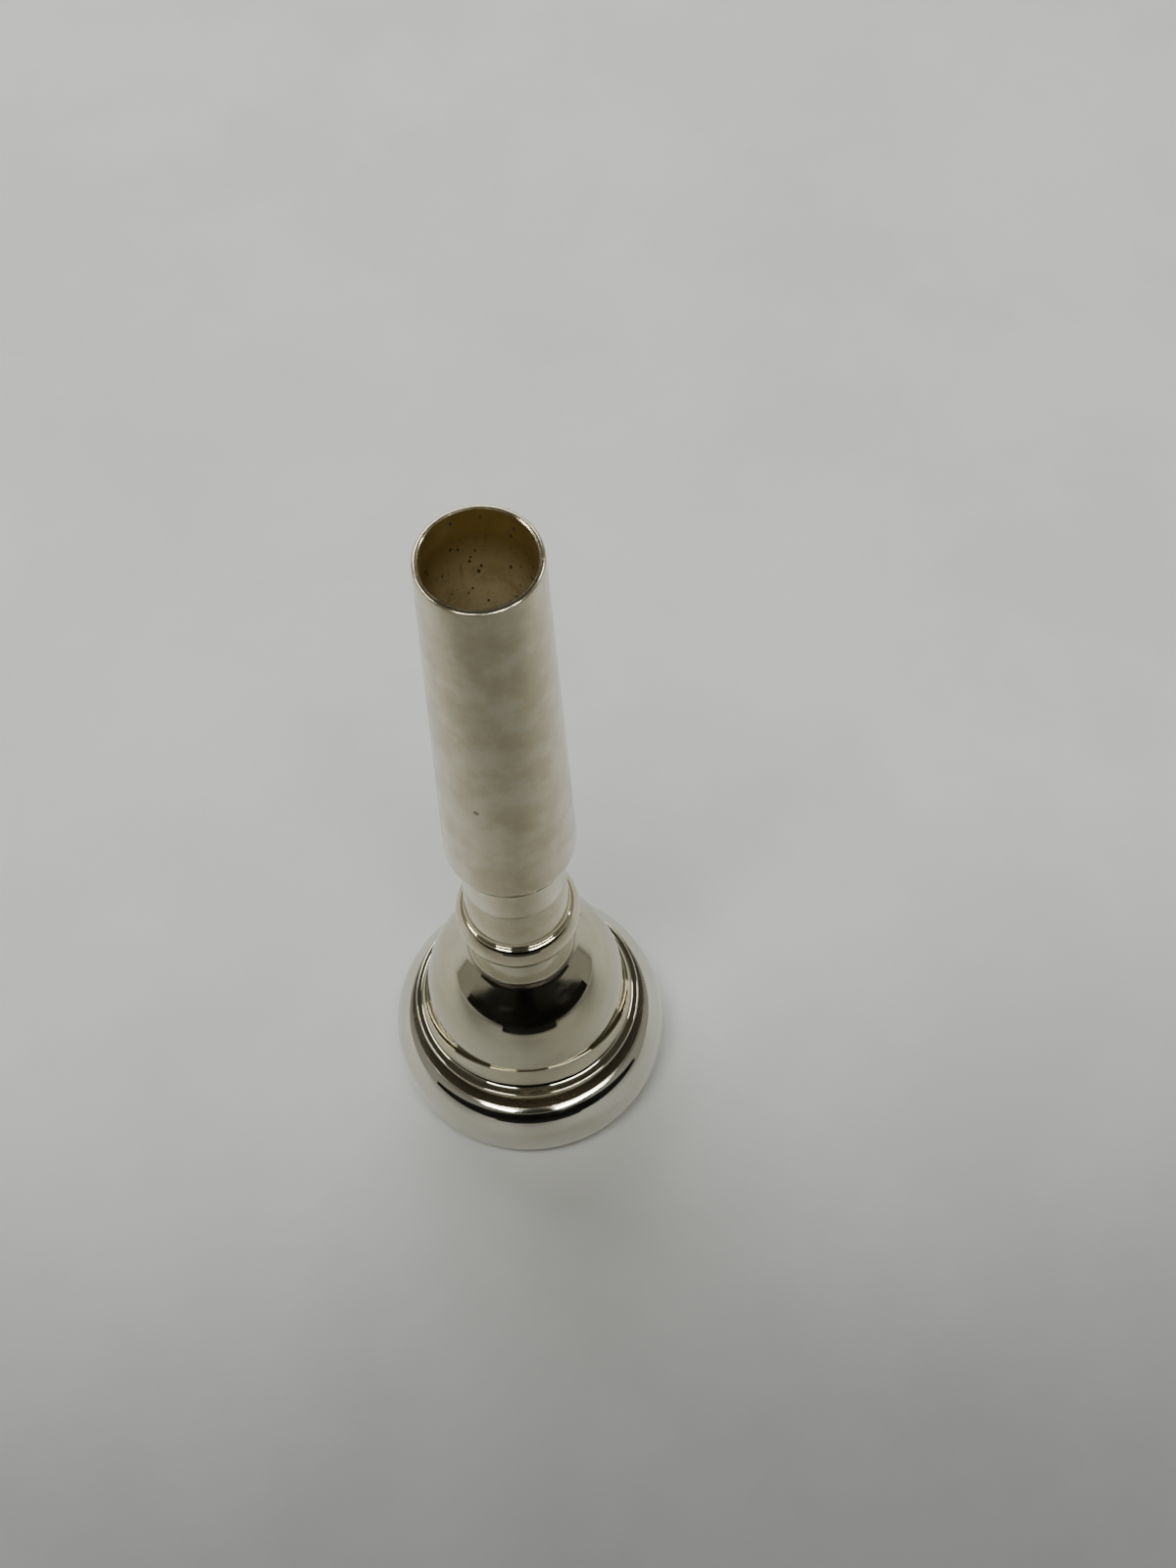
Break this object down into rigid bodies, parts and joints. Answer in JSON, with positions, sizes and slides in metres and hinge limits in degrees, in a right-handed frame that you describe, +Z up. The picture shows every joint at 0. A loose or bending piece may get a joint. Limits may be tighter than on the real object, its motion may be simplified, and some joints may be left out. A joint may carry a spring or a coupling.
{
  "type": "trumpet mouthpiece",
  "caption": "Screw-together brass instrument mouthpiece with rim, cup and tapered shank, silver plated, standing on its rim.",
  "frame": {"origin": "middle of the rim's plane, on which the mouthpiece stands", "axes": "+Z up the axis from the rim to the shank end; X and Y are equal, as every piece is turned about Z"},
  "size_m": [0.0274, 0.0274, 0.0873],
  "materials": {
    "silver_plate": "polished silver plate on brass",
    "worn_silver_plate": "silver plate on brass, shank rubbed satin, backbore tarnished"
  },
  "bodies": {
    "rim": {"rim": "silver_plate"},
    "cup": {"cup": "silver_plate"},
    "backbore": {"backbore_shank": "worn_silver_plate"}
  },
  "joints": [
    {"name": "cup_unscrew", "type": "slide", "parent": "rim", "child": "cup", "axis": [0, 0, 1], "range_m": [0, 0.008]},
    {"name": "backbore_unscrew", "type": "slide", "parent": "cup", "child": "backbore", "axis": [0, 0, 1], "range_m": [0, 0.009]}
  ]
}
